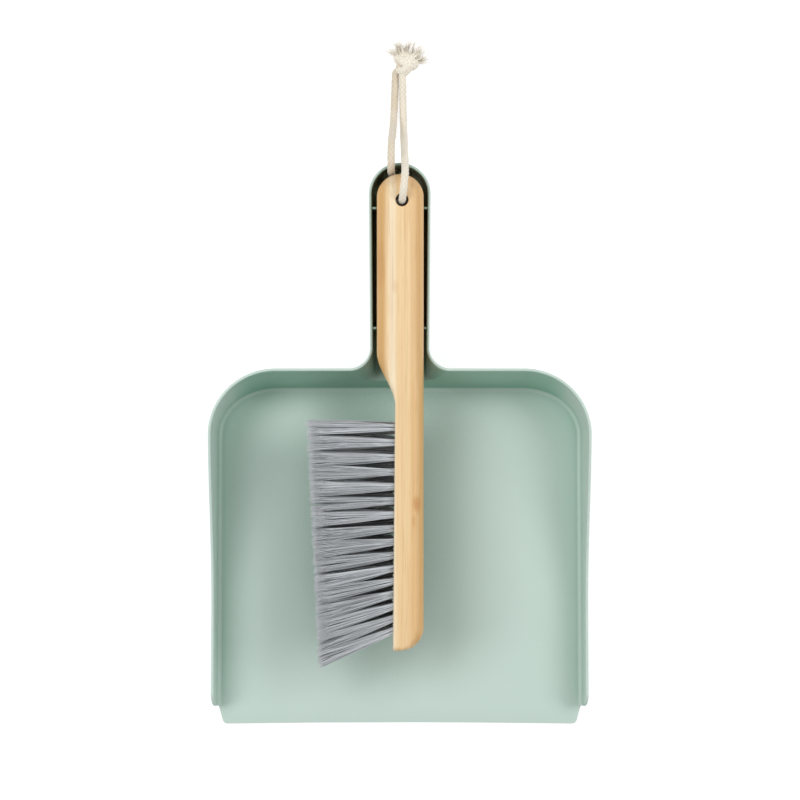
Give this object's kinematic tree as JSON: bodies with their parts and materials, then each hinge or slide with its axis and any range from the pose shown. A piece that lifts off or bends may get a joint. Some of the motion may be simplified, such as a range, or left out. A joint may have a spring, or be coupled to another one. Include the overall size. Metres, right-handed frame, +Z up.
{
  "type": "dust pan and brush set",
  "caption": "Moulded plastic dust pan with an open-topped hollow handle that holds a bamboo hand brush, with a knotted cotton cord to hang the set by.",
  "frame": {"origin": "on the ground, under the middle of the box of pan and brush, without the cord", "axes": "+Y from the pan's lip to the end of its handle, +X to the right seen from above with the handle away from the viewer, +Z up out of the tray"},
  "size_m": [0.2242, 0.4115, 0.0665],
  "materials": {
    "pan_plastic": "satin moulded sage green plastic",
    "bamboo": "lacquered strip-laminated bamboo",
    "bristles": "soft grey synthetic filaments with split ends",
    "cotton_cord": "undyed twisted cotton cord"
  },
  "bodies": {
    "pan": {"dustpan": "pan_plastic"},
    "brush": {"brush_handle": "bamboo", "tuft_low_01": "bristles", "tuft_low_02": "bristles", "tuft_low_03": "bristles", "tuft_low_04": "bristles", "tuft_low_05": "bristles", "tuft_low_06": "bristles", "tuft_low_07": "bristles", "tuft_low_08": "bristles", "tuft_low_09": "bristles", "tuft_low_10": "bristles", "tuft_low_11": "bristles", "tuft_low_12": "bristles", "tuft_low_13": "bristles", "tuft_low_14": "bristles", "tuft_low_15": "bristles", "tuft_low_16": "bristles", "tuft_middle_01": "bristles", "tuft_middle_02": "bristles", "tuft_middle_03": "bristles", "tuft_middle_04": "bristles", "tuft_middle_05": "bristles", "tuft_middle_06": "bristles", "tuft_middle_07": "bristles", "tuft_middle_08": "bristles", "tuft_middle_09": "bristles", "tuft_middle_10": "bristles", "tuft_middle_11": "bristles", "tuft_middle_12": "bristles", "tuft_middle_13": "bristles", "tuft_middle_14": "bristles", "tuft_middle_15": "bristles", "tuft_middle_16": "bristles", "tuft_top_01": "bristles", "tuft_top_02": "bristles", "tuft_top_03": "bristles", "tuft_top_04": "bristles", "tuft_top_05": "bristles", "tuft_top_06": "bristles", "tuft_top_07": "bristles", "tuft_top_08": "bristles", "tuft_top_09": "bristles", "tuft_top_10": "bristles", "tuft_top_11": "bristles", "tuft_top_12": "bristles", "tuft_top_13": "bristles", "tuft_top_14": "bristles", "tuft_top_15": "bristles", "tuft_top_16": "bristles", "cord_front": "cotton_cord", "cord_rear": "cotton_cord", "cord_knot": "cotton_cord", "cord_end_1": "cotton_cord", "cord_end_2": "cotton_cord"}
  },
  "joints": [
    {"name": "brush_lift", "type": "slide", "parent": "pan", "child": "brush", "axis": [0, 0, 1], "range_m": [0, 0.12]}
  ]
}
